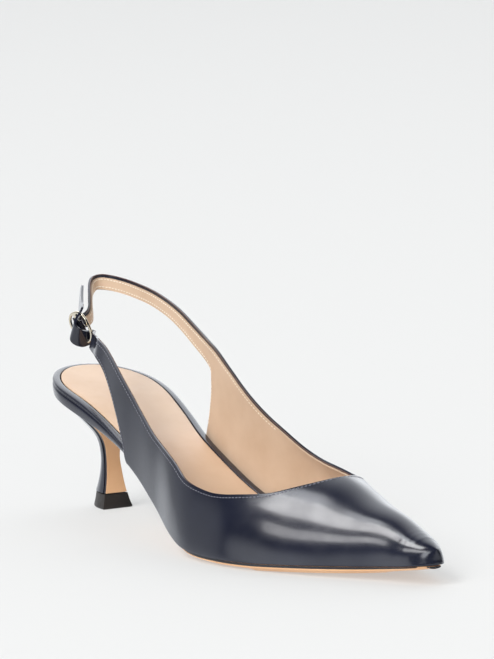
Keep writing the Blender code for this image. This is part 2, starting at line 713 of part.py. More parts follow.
def build_prong(material, upper):
    """Prong through the buckle strap; its hole is cut in the upper."""
    start, end = prong_ends()
    prong = rod("buckle_prong", start, end, PRONG_WIRE, material, shoe)
    ahead = (end - start).normalized()
    cutter = rod("prong_hole", start - ahead * 0.0002, end - ahead * 0.0004,
                 PRONG_WIRE + GAP, None, cutters, 12)
    cutter.hide_render = True
    cutter.display_type = "WIRE"
    hole = upper.modifiers.new("prong hole", "BOOLEAN")
    hole.operation = "DIFFERENCE"
    hole.object = cutter
    return prong


def finish(name, colour, roughness, metallic=0.0):
    material = bpy.data.materials.new(name)
    material.use_nodes = True
    shader = material.node_tree.nodes["Principled BSDF"]
    shader.inputs["Base Color"].default_value = (*colour, 1.0)
    shader.inputs["Roughness"].default_value = roughness
    shader.inputs["Metallic"].default_value = metallic
    return material


def recentre():
    """Slide everything so that the origin is the bottom centre of the shoe's box."""
    bpy.context.view_layer.update()
    graph = bpy.context.evaluated_depsgraph_get()
    corners = []
    for piece in shoe.objects:
        seen = piece.evaluated_get(graph)
        mesh = seen.to_mesh()
        corners += [seen.matrix_world @ vert.co for vert in mesh.vertices]
        seen.to_mesh_clear()
    low = [min(corner[axis] for corner in corners) for axis in range(3)]
    high = [max(corner[axis] for corner in corners) for axis in range(3)]
    shift = Matrix.Translation((-(low[0] + high[0]) / 2, -(low[1] + high[1]) / 2, -low[2]))
    for piece in list(shoe.objects) + list(cutters.objects):
        piece.data.transform(shift)


SHELL = shell_outline()

clear_scene()
shoe = bpy.data.collections.new("slingback_pump")
cutters = bpy.data.collections.new("cutters")
for group in (shoe, cutters):
    bpy.context.scene.collection.children.link(group)

navy = finish("navy_calf", (0.020, 0.023, 0.045), 0.18)
tan = finish("tan_lining", (0.74, 0.50, 0.34), 0.55)
sole_leather = finish("sole_leather", (0.62, 0.36, 0.18), 0.45)
rubber = finish("heel_rubber", (0.020, 0.018, 0.017), 0.5)
metal = finish("pale_metal", (0.80, 0.74, 0.62), 0.2, 1.0)

build_outsole(sole_leather)
build_heel(navy)
build_top_piece(rubber)
build_insole(navy)
build_sock(tan)
upper = build_upper(navy)
build_buckle_frame(metal)
build_prong(metal, upper)
recentre()
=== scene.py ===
# Slingback pump, right shoe: the finish of every piece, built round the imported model.
# Shapes are worked out from the back of the seat and the heel's middle line, then set in the row frame.

import math

import bpy
import numpy as np
from mathutils import Matrix, Vector


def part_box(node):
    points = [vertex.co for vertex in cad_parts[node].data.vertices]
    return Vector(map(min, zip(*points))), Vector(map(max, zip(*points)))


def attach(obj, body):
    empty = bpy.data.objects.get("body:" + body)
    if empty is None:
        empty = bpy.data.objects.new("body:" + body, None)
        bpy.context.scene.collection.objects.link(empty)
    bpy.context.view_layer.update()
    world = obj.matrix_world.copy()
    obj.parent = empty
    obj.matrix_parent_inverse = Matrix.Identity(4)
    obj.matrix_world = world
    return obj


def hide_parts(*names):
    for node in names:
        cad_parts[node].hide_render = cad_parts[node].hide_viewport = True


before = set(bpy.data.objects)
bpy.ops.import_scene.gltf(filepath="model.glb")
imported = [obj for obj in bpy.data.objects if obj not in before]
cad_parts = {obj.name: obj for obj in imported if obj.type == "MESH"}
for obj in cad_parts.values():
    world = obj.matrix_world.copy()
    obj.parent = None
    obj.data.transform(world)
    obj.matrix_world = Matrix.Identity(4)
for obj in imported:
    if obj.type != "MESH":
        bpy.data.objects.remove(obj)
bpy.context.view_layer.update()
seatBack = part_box("insole")[0].x
heelMiddle = (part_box("heel")[0].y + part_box("heel")[1].y) / 2
toRow = np.array((seatBack, heelMiddle, 0.0))
bpy.ops.object.select_all(action="DESELECT")
print("frame loaded, seat back at", round(seatBack, 4))

# The last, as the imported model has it: metres, and shares of the length
last = {
    "length": 0.2606, "boardTip": 0.2591, "ballWidth": 0.0730, "seatRise": 0.0490, "toeSpring": 0.0046,
    "toeSwing": 0.0125, "seatRound": 0.0300, "toeRound": 0.0120, "crown": 0.0800, "topline": 0.0790,
    "wall": 0.0016, "gap": 0.0003, "sideGap": 0.0005, "outsole": 0.0028, "throat": 0.798,
    "outline": [
        (0.000, 0.00, 0.310), (0.115, 0.07, 0.322), (0.230, -0.04, 0.293), (0.345, -0.36, 0.270),
        (0.460, -0.43, 0.308), (0.545, -0.28, 0.400), (0.610, -0.06, 0.462), (0.670, 0.10, 0.472),
        (0.730, 0.24, 0.436), (0.800, 0.40, 0.345), (0.880, 0.66, 0.215), (0.945, 0.88, 0.118),
        (1.000, 1.00, 0.080),
    ],
    "profile": [
        (0.000, 0.978, 0.0), (0.115, 0.841, 0.0), (0.230, 0.694, 0.0), (0.307, 0.596, 0.0),
        (0.345, 0.530, 0.0), (0.400, 0.405, 0.0), (0.460, 0.250, 0.0), (0.520, 0.112, 0.0),
        (0.575, 0.026, 0.0), (0.610, 0.0, 0.0), (0.710, 0.0, 0.0), (0.787, 0.0, 0.16),
        (0.900, 0.0, 0.50), (1.000, 0.0, 1.0),
    ],
    "section": [
        (0.300, 1.100, 2.3), (0.385, 1.000, 2.3), (0.460, 0.860, 2.3), (0.540, 0.680, 2.3),
        (0.615, 0.530, 2.15), (0.710, 0.468, 1.94), (0.798, 0.396, 1.57), (0.863, 0.295, 1.70),
        (0.916, 0.232, 1.81), (0.965, 0.145, 1.95), (0.990, 0.112, 2.1), (1.000, 0.085, 2.2),
    ],
}
# Topline: place, outer height, inner height
topEdge = [
    (0.200, 0.995, 1.090), (0.250, 0.945, 1.030), (0.313, 0.828, 0.975), (0.361, 0.724, 0.922),
    (0.395, 0.652, 0.850), (0.451, 0.550, 0.718), (0.490, 0.506, 0.634), (0.531, 0.455, 0.537),
    (0.576, 0.381, 0.455), (0.610, 0.344, 0.427), (0.650, 0.344, 0.401), (0.690, 0.354, 0.378),
    (0.730, 0.368, 0.395), (0.765, 0.408, 0.425), (0.798, 0.451, 0.451),
]
# Wings: place of the upper edge, place and height of the lower edge
outerWing = [
    (0.640, 0.640, 0.0), (0.576, 0.568, 0.0), (0.526, 0.505, 0.0), (0.451, 0.432, 0.0),
    (0.395, 0.383, 0.0), (0.361, 0.345, 0.0), (0.336, 0.330, 0.480), (0.312, 0.311, 0.592),
    (0.284, 0.288, 0.702), (0.258, 0.259, 0.806), (0.234, 0.231, 0.866),
]
innerWing = [
    (0.640, 0.640, 0.0), (0.576, 0.560, 0.0), (0.514, 0.480, 0.0), (0.472, 0.410, 0.0),
    (0.437, 0.350, 0.0), (0.413, 0.303, 0.0), (0.394, 0.316, 0.505), (0.377, 0.328, 0.605),
    (0.360, 0.338, 0.710), (0.340, 0.338, 0.810),
]
# Straps: place, side, height and width, as shares of length, half, height and width
strap = {
    "width": 0.0065, "height": 0.0930, "half": 0.0160, "innerWidth": 0.94,
    "sling": [
        (0.292, 1.02, 0.808, 1.18), (0.225, 1.04, 0.890, 1.05), (0.160, 1.01, 0.943, 1.00),
        (0.103, 0.89, 0.974, 1.00), (0.065, 0.69, 0.992, 1.00), (0.045, 0.42, 1.000, 1.00),
        (0.044, 0.16, 0.996, 0.94), (0.060, -0.10, 0.974, 0.92), (0.085, -0.335, 0.934, 0.92),
        (0.117, -0.64, 0.878, 0.95),
    ],
    # the buckle strap and the tail also have their cross line: along, out of and across the ring
    "buckle": [
        (0.2115, -1.300, 0.785, 1.10, (0.38, -0.42, 0.82)),
        (0.188, -1.190, 0.797, 1.00, (0.46, -0.40, 0.79)),
    ],
    "tail": [
        (0.130, -0.98, 0.930, 1.00, (0.88, 0.10, 0.44)), (0.104, -0.74, 0.960, 0.98, (0.88, 0.26, 0.30)),
        (0.075, -0.46, 0.998, 0.86, (0.88, 0.34, 0.22)),
    ],
    # inside the ring: ahead of the bar, out of the ring's plane, along the bar
    "overBar": [
        (0.190, -0.100, -0.470, 1.05, (0.62, -0.28, 0.73)), (0.130, 0.130, -0.410, 1.25, (0.72, -0.16, 0.67)),
        (0.130, 0.350, -0.250, 1.42, (0.80, -0.08, 0.60)), (0.134, 0.470, -0.050, 1.46, (0.82, -0.04, 0.57)),
        (0.140, 0.420, 0.120, 1.36, (0.82, 0.0, 0.57)), (0.140, 0.250, 0.250, 1.18, (0.82, 0.0, 0.57)),
        (0.150, 0.060, 0.370, 1.02, (0.84, 0.0, 0.54)), (0.190, -0.105, 0.520, 0.98, (0.86, -0.04, 0.50)),
    ],
    "roundTheBar": [
        (-0.607, -0.254, 0.110), (-0.459, -0.225, 0.055), (-0.303, -0.164, 0.010), (-0.213, -0.016, -0.020),
        (-0.131, 0.098, -0.028), (0.000, 0.149, -0.028), (0.107, 0.102, -0.028), (0.149, 0.000, -0.028),
        (0.107, -0.102, -0.028), (0.000, -0.149, -0.028), (-0.098, -0.172, -0.028),
    ],
}
# The ring's length, its turn, rise and lean in degrees, and its centre as shares like the straps'
ring = {"length": 0.0122, "turn": 4, "rise": 15, "lean": 18, "at": (0.1555, -1.19, 0.846)}
# Steps of the surface: along a quarter, between two rungs, over the vamp and across. From the rung freeFrom
# on the lower edge is free of the board, and bunchUp draws a quarter's steps together at the throat
ladder = {"quarter": 44, "perSpan": 9, "vamp": 90, "rows": 28, "freeFrom": 5.0, "bunchUp": 1.8}


def hermite(xs, ys, at):
    # monotone cubic through the points
    xs, ys = np.array(xs, float), np.array(ys, float)
    steps, grades = np.diff(xs), np.diff(ys) / np.diff(xs)
    slopes = np.zeros(len(xs))
    slopes[0], slopes[-1] = grades[0], grades[-1]
    for i in range(1, len(xs) - 1):
        if grades[i - 1] * grades[i] > 0:
            before, after = 2 * steps[i] + steps[i - 1], steps[i] + 2 * steps[i - 1]
            slopes[i] = (before + after) / (before / grades[i - 1] + after / grades[i])
    i = np.clip(np.searchsorted(xs, at, side="right") - 1, 0, len(xs) - 2)
    t = (np.clip(at, xs[0], xs[-1]) - xs[i]) / steps[i]
    return ((1 + 2 * t) * (1 - t) ** 2 * ys[i] + t * (1 - t) ** 2 * steps[i] * slopes[i]
            + t * t * (3 - 2 * t) * ys[i + 1] + t * t * (t - 1) * steps[i] * slopes[i + 1])


def easedCurve(rows, column, ease=0.010):
    # the table's curve, run over with a soft brush so that gloss flows across it
    xs = [row[0] for row in rows]
    dense = np.linspace(xs[0], xs[-1], 1200)
    step = dense[1] - dense[0]
    values = hermite(xs, [row[column] for row in rows], dense)
    reach = int(3 * ease / step)
    brush = np.exp(-0.5 * (np.arange(-reach, reach + 1) * step / ease) ** 2)
    head = 2 * values[0] - values[1:reach + 1][::-1]
    tail = 2 * values[-1] - values[-reach - 1:-1][::-1]
    values = np.convolve(np.concatenate([head, values, tail]), brush / brush.sum(), "valid")
    return lambda at: np.interp(at, dense, values)


length = last["length"]
outlineHalf = easedCurve(last["outline"], 2)
outlineMiddle = easedCurve(last["outline"], 1)
profileRise = easedCurve(last["profile"], 1)
profileSpring = easedCurve(last["profile"], 2)
crownHeight = easedCurve(last["section"], 1, 0.012)
sectionFullness = easedCurve(last["section"], 2, 0.020)
outerTop = easedCurve(topEdge, 1, 0.006)
innerTop = easedCurve(topEdge, 2, 0.006)


def halfWidth(x):
    x = np.asarray(x, float)
    half = outlineHalf(x / length) * last["ballWidth"]
    seat = np.clip((last["seatRound"] - x) / last["seatRound"], 0, 1)
    toe = np.clip((x - last["boardTip"] + last["toeRound"]) / last["toeRound"], 0, 1)
    return half * np.sqrt(1 - seat ** 2.1) * np.sqrt(1 - toe ** 2)


def middle(x):
    return outlineMiddle(np.asarray(x) / length) * last["toeSwing"]


def soleRise(x):
    share = np.asarray(x) / length
    return profileRise(share) * last["seatRise"] + profileSpring(share) * last["toeSpring"]


def feather(x):
    return soleRise(x) + last["outsole"] + last["gap"]


def shellCurve():
    at = last["boardTip"] * (0.08 + 0.92 * np.sin(np.pi / 2 * np.arange(800) / 800))
    step, out = 1e-4, last["sideGap"] + last["wall"]
    slope = (halfWidth(np.minimum(at + step, last["boardTip"])) - halfWidth(at - step)) / (2 * step)
    size = np.hypot(slope, 1)
    xs = np.append(at - out * slope / size, last["boardTip"] + out)
    return xs, np.append(halfWidth(at) + out / size, 0.0)


shellXs, shellHalves = shellCurve()


def onLast(x, side, angle):
    # outer face of the shell: angle 0 is the feather line, a quarter turn the crown
    x, angle = np.broadcast_arrays(np.asarray(x, float), np.asarray(angle, float))
    power = 2 / sectionFullness(x / length)
    reach = np.interp(x, shellXs, shellHalves) * np.maximum(np.cos(angle), 0) ** power
    high = crownHeight(x / length) * last["crown"]
    lift = high * np.maximum(np.sin(angle), 0) ** power
    return np.stack([x, middle(x) + side * reach, feather(x) + lift], -1)


def angleAt(x, z):
    high = crownHeight(np.asarray(x) / length) * last["crown"]
    share = np.clip((z - feather(x)) / high, 0, 1)
    return np.arcsin(share ** (sectionFullness(np.asarray(x) / length) / 2))


def toplineHeight(x, side):
    return (outerTop if side < 0 else innerTop)(np.asarray(x) / length) * last["topline"]


def unit(v):
    return v / np.maximum(np.linalg.norm(v, axis=-1, keepdims=True), 1e-12)


def splineThrough(points, perSpan, lead):
    spots = [lead] + list(points) + [2 * points[-1] - points[-2]]
    line = []
    for i in range(1, len(spots) - 2):
        a, b, c, d = spots[i - 1:i + 3]
        for t in np.arange(perSpan) / perSpan:
            line.append(0.5 * (2 * b + (c - a) * t + (2 * a - 5 * b + 4 * c - d) * t ** 2
                               + (3 * b - a - 3 * c + d) * t ** 3))
    return np.array(line + [points[-1]])


def ringAxes():
    turn, rise, lean = (math.radians(ring[k]) for k in ("turn", "rise", "lean"))
    x, y, z = ring["at"]
    centre = np.array((x * length, y * strap["half"], z * strap["height"]))
    along = np.array((math.cos(turn) * math.cos(rise), math.sin(turn) * math.cos(rise), math.sin(rise)))
    level = np.array((math.sin(turn), -math.cos(turn), 0.0))
    upright = np.cross(level, along)
    upright = upright if upright[2] > 0 else -upright
    across = upright * math.cos(lean) + level * math.sin(lean)
    outward = level * math.cos(lean) - upright * math.sin(lean)
    return centre, along, outward, across


def crossLine(shares):
    along, outward, across = ringAxes()[1:]
    return unit(along * shares[0] + outward * shares[1] + across * shares[2])


def strapRows(rows):
    # a row without its own cross line stands upright
    return [(np.array((x * length, y * strap["half"], z * strap["height"])), w * strap["width"],
             crossLine(own[0]) if own else None) for x, y, z, w, *own in rows]


def ringRows(rows, width):
    centre, along, outward, across = ringAxes()
    made = []
    for ahead, out, up, *own in rows:
        point = centre + (along * ahead + outward * out + across * up) * ring["length"]
        made.append((point, width * own[0], crossLine(own[1])) if own else (point, width, across))
    return made


def strapEdges(rows, lead):
    edges = []
    for i, (point, width, across) in enumerate(rows):
        up = across
        if up is None:
            before = rows[i - 1][0] if i else lead
            after = rows[i + 1][0] if i + 1 < len(rows) else point
            ahead = unit(after - before)
            level = unit(np.array((ahead[1], -ahead[0], 0.0)))
            up = unit(np.cross(ahead, level))
            up = up if up[2] > 0 else -up
        edges.append((point + up * width / 2, point - up * width / 2))
    return edges


def makeLadder(side):
    # upper and lower edge of one side from the toe tip to the end of its strap, finely stepped
    throat = last["throat"] * length
    wing = outerWing if side < 0 else innerWing
    vamp = throat + (shellXs[-1] - throat) * np.cos(np.pi / 2 * np.arange(ladder["vamp"]) / ladder["vamp"])
    share = (np.arange(ladder["quarter"]) / ladder["quarter"]) ** ladder["bunchUp"]
    xs = throat + (wing[0][0] * length - throat) * share
    angles = angleAt(xs, toplineHeight(xs, side))
    angles[0] = math.pi / 2
    xs = np.concatenate([vamp, xs])
    angles = np.concatenate([np.full(len(vamp), math.pi / 2), angles])
    rungs = []
    for topShare, lowShare, lowHeight in wing:
        topX, lowX = topShare * length, lowShare * length
        topAngle = angleAt(topX, toplineHeight(topX, side))
        lowAngle = angleAt(lowX, lowHeight * last["topline"]) if lowHeight else 0.0
        rungs.append((onLast(topX, side, topAngle), onLast(lowX, side, lowAngle)))
    onShoe = len(rungs)
    if side < 0:
        path = strapRows(strap["buckle"]) + ringRows(strap["overBar"], strap["width"])
        path += strapRows(strap["tail"])
        ringFrom = onShoe + len(strap["buckle"])
    else:
        path = strapRows(strap["sling"])
        path += ringRows(strap["roundTheBar"], strap["width"] * strap["innerWidth"])
        ringFrom = onShoe + len(strap["sling"])
    rungs += strapEdges(path, (rungs[-1][0] + rungs[-1][1]) / 2)
    leadX = (2 * wing[0][0] - wing[1][0]) * length
    leadTop = onLast(leadX, side, angleAt(leadX, toplineHeight(leadX, side)))
    leadLow = onLast(leadX, side, 0.0)
    tops = splineThrough([top for top, low in rungs], ladder["perSpan"], leadTop)
    lows = splineThrough([low for top, low in rungs], ladder["perSpan"], leadLow)
    place = np.arange(len(tops)) / ladder["perSpan"]
    bulge = np.clip((onShoe - 3.0 - place) / 2.0 + 1.0, 0, 1)
    bulge = bulge * bulge * (3 - 2 * bulge)
    return {
        "side": side, "ringFrom": ringFrom, "throatFrom": len(vamp),
        "tops": np.concatenate([onLast(xs, side, angles), tops]),
        "lows": np.concatenate([onLast(xs, side, 0.0), lows]),
        "bulge": np.concatenate([np.ones(len(xs)), bulge]),
        "place": np.concatenate([np.zeros(len(xs)), place]),
        "topAngle": np.concatenate([angles, angleAt(tops[:, 0], tops[:, 2])]),
        "lowAngle": np.concatenate([np.zeros(len(xs)), angleAt(lows[:, 0], lows[:, 2])]),
    }


def ladderRows(sheet, count, topCut=0.0, lowCut=0.0, strapCut=0.0):
    # rows of points from the lower to the upper edge, with the cuts left off
    # strapCut is the strap's own top cut
    fine = np.linspace(0, 1, 41)[None, :, None]
    tops, lows = sheet["tops"][:, None, :], sheet["lows"][:, None, :]
    straight = lows + (tops - lows) * fine
    angle = sheet["lowAngle"][:, None] + (sheet["topAngle"] - sheet["lowAngle"])[:, None] * fine[..., 0]
    curved = onLast(straight[..., 0], sheet["side"], angle)
    rows = straight + (curved - straight) * sheet["bulge"][:, None, None]
    lengths = np.linalg.norm(np.diff(rows, axis=1), axis=2)
    made = np.zeros((len(rows), count, 3))
    for i, (row, steps) in enumerate(zip(rows, lengths)):
        along = np.concatenate([[0], np.cumsum(steps)])
        total = along[-1]
        low = min(lowCut * np.clip(sheet["place"][i] - ladder["freeFrom"] + 0.5, 0, 1), total * 0.4)
        onStrap = np.clip(sheet["place"][i] / 8, 0, 1) if strapCut else 0
        high = (topCut + (strapCut - topCut) * onStrap) * np.clip((i - sheet["throatFrom"]) / 6, 0, 1)
        high = min(high, total * 0.4)
        if total < 1e-9:
            made[i] = row[0]
            continue
        at = low + (total - low - high) * np.arange(count) / (count - 1)
        for axis in range(3):
            made[i, :, axis] = np.interp(at, along, row[:, axis])
    return made


def pick(piece):
    bpy.ops.object.select_all(action="DESELECT")
    piece.select_set(True)
    bpy.context.view_layer.objects.active = piece


def gridPiece(name, points):
    # a grid primitive whose points are set in place
    wide, deep = points.shape[0], points.shape[1]
    bpy.ops.object.select_all(action="DESELECT")
    bpy.ops.mesh.primitive_grid_add(x_subdivisions=deep - 1, y_subdivisions=wide - 1, size=1)
    piece = bpy.context.object
    piece.name = name
    piece.data.name = name
    piece.data.vertices.foreach_set("co", (points + toRow).reshape(-1).astype(np.float32))
    piece.data.update()
    return piece


def joinPieces(pieces, name, merge):
    bpy.ops.object.select_all(action="DESELECT")
    for piece in pieces:
        piece.select_set(True)
    bpy.context.view_layer.objects.active = pieces[0]
    if len(pieces) > 1:
        bpy.ops.object.join()
    piece = bpy.context.object
    piece.name = name
    piece.data.name = name
    if merge:
        bpy.ops.object.mode_set(mode="EDIT")
        bpy.ops.mesh.select_all(action="SELECT")
        bpy.ops.mesh.remove_doubles(threshold=merge)
        bpy.ops.mesh.dissolve_degenerate(threshold=merge)
        bpy.ops.mesh.delete_loose()
        bpy.ops.mesh.select_all(action="SELECT")
        bpy.ops.mesh.normals_make_consistent(inside=False)
        bpy.ops.object.mode_set(mode="OBJECT")
    return piece


def applyAll(piece):
    pick(piece)
    for modifier in list(piece.modifiers):
        bpy.ops.object.modifier_apply(modifier=modifier.name)


def smoothShade(piece, angle):
    pick(piece)
    bpy.ops.object.shade_smooth_by_angle(angle=math.radians(angle))


# Materials
def newMaterial(name, base, rough, **sockets):
    material = bpy.data.materials.new(name)
    material.use_nodes = True
    shader = material.node_tree.nodes["Principled BSDF"]
    shader.inputs["Base Color"].default_value = (*base, 1.0)
    shader.inputs["Roughness"].default_value = rough
    for socket, value in sockets.items():
        shader.inputs[socket].default_value = value
    return material


def addNode(material, kind, **settings):
    node = material.node_tree.nodes.new(kind)
    for key, value in settings.items():
        if key in node.inputs:
            node.inputs[key].default_value = value
        else:
            setattr(node, key, value)
    return node


def link(material, start, output, end, socket):
    material.node_tree.links.new(start.outputs[output], end.inputs[socket])


def mapRange(material, span, to):
    node = addNode(material, "ShaderNodeMapRange")
    for socket, value in zip(("From Min", "From Max", "To Min", "To Max"), (*span, *to)):
        node.inputs[socket].default_value = value
    return node


def grainedLeather(name, base, deep, rough, grain):
    # leather with pores, broad colour drift and uneven polish, on object coordinates
    material = newMaterial(name, base, rough["low"], **grain["sockets"])
    shader = material.node_tree.nodes["Principled BSDF"]
    place = addNode(material, "ShaderNodeTexCoord")
    drift = addNode(material, "ShaderNodeTexNoise", Scale=grain["driftScale"], Detail=3.0, Roughness=0.55)
    link(material, place, "Object", drift, "Vector")
    ramp = addNode(material, "ShaderNodeMix", data_type="RGBA")
    ramp.inputs["A"].default_value = (*base, 1.0)
    ramp.inputs["B"].default_value = (*deep, 1.0)
    spread = mapRange(material, (0.35, 0.65), (0.0, 1.0))
    link(material, drift, "Fac", spread, "Value")
    link(material, spread, "Result", ramp, "Factor")
    link(material, ramp, "Result", shader, "Base Color")
    polish = addNode(material, "ShaderNodeTexNoise", Scale=grain["polishScale"], Detail=4.0, Roughness=0.6)
    link(material, place, "Object", polish, "Vector")
    polishRange = mapRange(material, (0.3, 0.7), (rough["low"], rough["high"]))
    link(material, polish, "Fac", polishRange, "Value")
    link(material, polishRange, "Result", shader, "Roughness")
    pores = addNode(material, "ShaderNodeTexVoronoi", Scale=grain["poreScale"])
    link(material, place, "Object", pores, "Vector")
    wrinkles = addNode(material, "ShaderNodeTexNoise", Scale=grain["wrinkleScale"], Detail=6.0, Roughness=0.6)
    link(material, place, "Object", wrinkles, "Vector")
    poreBump = addNode(
        material, "ShaderNodeBump", Strength=grain["poreStrength"], Distance=grain["poreDepth"])
    link(material, pores, "Distance", poreBump, "Height")
    wrinkleBump = addNode(
        material, "ShaderNodeBump", Strength=grain["wrinkleStrength"], Distance=grain["wrinkleDepth"])
    link(material, wrinkles, "Fac", wrinkleBump, "Height")
    link(material, wrinkleBump, "Normal", poreBump, "Normal")
    link(material, poreBump, "Normal", shader, "Normal")
    return material


navyCalf = grainedLeather(
    "navyCalf", (0.0105, 0.0125, 0.0245), (0.0070, 0.0085, 0.0180), {"low": 0.17, "high": 0.25},
    {"driftScale": 45.0, "polishScale": 130.0, "poreScale": 2600.0,
     "poreStrength": 0.10, "poreDepth": 0.00004, "wrinkleScale": 900.0,
     "wrinkleStrength": 0.12, "wrinkleDepth": 0.00005,
     "sockets": {"Specular IOR Level": 0.5, "Coat Weight": 0.25, "Coat Roughness": 0.08}})
tanLining = grainedLeather(
    "tanLining", (0.612, 0.452, 0.322), (0.556, 0.396, 0.272), {"low": 0.50, "high": 0.62},
    {"driftScale": 60.0, "polishScale": 300.0, "poreScale": 1900.0,
     "poreStrength": 0.25, "poreDepth": 0.00007, "wrinkleScale": 700.0,
     "wrinkleStrength": 0.25, "wrinkleDepth": 0.00010,
     "sockets": {"Specular IOR Level": 0.35, "Sheen Weight": 0.08}})
sockLeather = grainedLeather(
    "sockLeather", (0.625, 0.448, 0.312), (0.575, 0.396, 0.264), {"low": 0.40, "high": 0.52},
    {"driftScale": 40.0, "polishScale": 260.0, "poreScale": 2100.0,
     "poreStrength": 0.20, "poreDepth": 0.00006, "wrinkleScale": 600.0,
     "wrinkleStrength": 0.20, "wrinkleDepth": 0.00008,
     "sockets": {"Specular IOR Level": 0.4, "Coat Weight": 0.08, "Coat Roughness": 0.35}})
soleLeather = grainedLeather(
    "soleLeather", (0.800, 0.480, 0.265), (0.720, 0.410, 0.215), {"low": 0.34, "high": 0.46},
    {"driftScale": 55.0, "polishScale": 200.0, "poreScale": 1500.0,
     "poreStrength": 0.18, "poreDepth": 0.00006, "wrinkleScale": 500.0,
     "wrinkleStrength": 0.22, "wrinkleDepth": 0.00010,
     "sockets": {"Specular IOR Level": 0.45}})
heelRubber = grainedLeather(
    "heelRubber", (0.018, 0.016, 0.015), (0.028, 0.024, 0.022), {"low": 0.42, "high": 0.58},
    {"driftScale": 120.0, "polishScale": 500.0, "poreScale": 2600.0,
     "poreStrength": 0.20, "poreDepth": 0.00008, "wrinkleScale": 1300.0,
     "wrinkleStrength": 0.25, "wrinkleDepth": 0.00010,
     "sockets": {"Specular IOR Level": 0.4}})
paleGold = grainedLeather(
    "paleGold", (0.80, 0.72, 0.58), (0.74, 0.66, 0.52), {"low": 0.10, "high": 0.20},
    {"driftScale": 200.0, "polishScale": 600.0, "poreScale": 3000.0,
     "poreStrength": 0.04, "poreDepth": 0.00002, "wrinkleScale": 1500.0,
     "wrinkleStrength": 0.05, "wrinkleDepth": 0.00003,
     "sockets": {"Metallic": 1.0}})
edgePaint = newMaterial("edgePaint", (0.016, 0.016, 0.022), 0.30)
cutEdge = newMaterial("cutEdge", (0.110, 0.050, 0.035), 0.55)
creamThread = newMaterial("creamThread", (0.840, 0.760, 0.640), 0.60)
# outer stitching thread: its own navy tone, lightened to grey by a painted highlight so the stitch dots show
# light against the leather
navyThreadPaintedHighlight = newMaterial("navyThreadPaintedHighlight", (0.150, 0.150, 0.180), 0.35)
print("materials made")


def dress(piece, material, node=None):
    piece.data.materials.clear()
    piece.data.materials.append(material)
    for polygon in piece.data.polygons:
        polygon.material_index = 0
    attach(piece, "root")
    if node:
        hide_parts(*([node] if isinstance(node, str) else node))


# Upper: outer leather, lining, and the thread rows that hold them together
# linedTo and sewnTo say how many rungs before the ring the lining and the stitches end, by side
upper = {
    "leather": 0.00095, "lining": 0.00060, "throatCut": 0.0009, "strapCut": 0.0013, "lowCut": 0.00018,
    "edgeRound": 0.00022, "layerGap": 0.00002, "linedTo": {-1: 2.4, 1: 0.6}, "sewnTo": {-1: 2.6, 1: 0.7},
    "cutRadius": 0.00017, "cutInset": 0.00005,
}
# The toe is evened out in steps: from this place on, so many passes, and only this far above the feather
smoothed = {"above": 0.0010, "toe": [(0.2470, 3), (0.2495, 8), (0.2520, 14), (0.2545, 30)]}
outerSide, innerSide = makeLadder(-1), makeLadder(1)


def upperSheet(name, topCut, lowCut, strapCut=0.0, shortBy=None):
    pieces = []
    for sheet in (outerSide, innerSide):
        rows = ladderRows(sheet, ladder["rows"] + 1, topCut, lowCut, strapCut)
        if shortBy:
            rows = rows[sheet["place"] <= sheet["ringFrom"] - shortBy[sheet["side"]]]
        pieces.append(gridPiece(f"{name}Side", rows))
    sheet = joinPieces(pieces, name, 4e-6)
    easeSheet(sheet)
    return sheet


def evenOut(piece, picked, passes):
    # only the picked points move, each towards the middle of its neighbours
    pick(piece)
    bpy.ops.object.mode_set(mode="EDIT")
    bpy.ops.mesh.select_mode(type="VERT")
    bpy.ops.mesh.select_all(action="DESELECT")
    bpy.ops.object.mode_set(mode="OBJECT")
    for corner in piece.data.vertices:
        corner.select = picked(corner.co)
    bpy.ops.object.mode_set(mode="EDIT")
    bpy.ops.mesh.vertices_smooth(factor=0.5, repeat=passes)
    bpy.ops.object.mode_set(mode="OBJECT")


def aboveFeather(point, start):
    x = point.x - seatBack
    return x > start and point.z > float(feather(x)) + smoothed["above"]


def easeSheet(piece):
    # the crown line runs over into the upright toe tip without a ridge
    for start, passes in smoothed["toe"]:
        evenOut(piece, lambda point: aboveFeather(point, start), passes)


def setOutward(piece):
    # over the vamp, most of the outer face looks up
    over = seatBack + last["throat"] * length
    lift = sum(polygon.normal.z * polygon.area for polygon in piece.data.polygons if polygon.center.x > over)
    if lift < 0:
        piece.data.flip_normals()


leather = upperSheet("upperLeather", 0.0, 0.0)
setOutward(leather)
wall = leather.modifiers.new("wall", "SOLIDIFY")
wall.thickness = upper["leather"]
wall.offset = -1
edge = leather.modifiers.new("edge", "BEVEL")
edge.width = upper["edgeRound"]
edge.segments = 3
edge.angle_limit = math.radians(55)
applyAll(leather)
smoothShade(leather, 50)
dress(leather, navyCalf, "upper")
print("upper leather", len(leather.data.polygons))

lining = upperSheet("upperLining", upper["throatCut"], upper["lowCut"], upper["strapCut"], upper["linedTo"])
setOutward(lining)
pick(lining)
bpy.ops.object.mode_set(mode="EDIT")
bpy.ops.mesh.select_all(action="SELECT")
bpy.ops.transform.shrink_fatten(value=-upper["leather"] - upper["layerGap"])
bpy.ops.object.mode_set(mode="OBJECT")
backing = lining.modifiers.new("backing", "SOLIDIFY")
backing.thickness = upper["lining"]
backing.offset = -1
applyAll(lining)
smoothShade(lining, 50)
dress(lining, tanLining)
print("lining", len(lining.data.polygons))


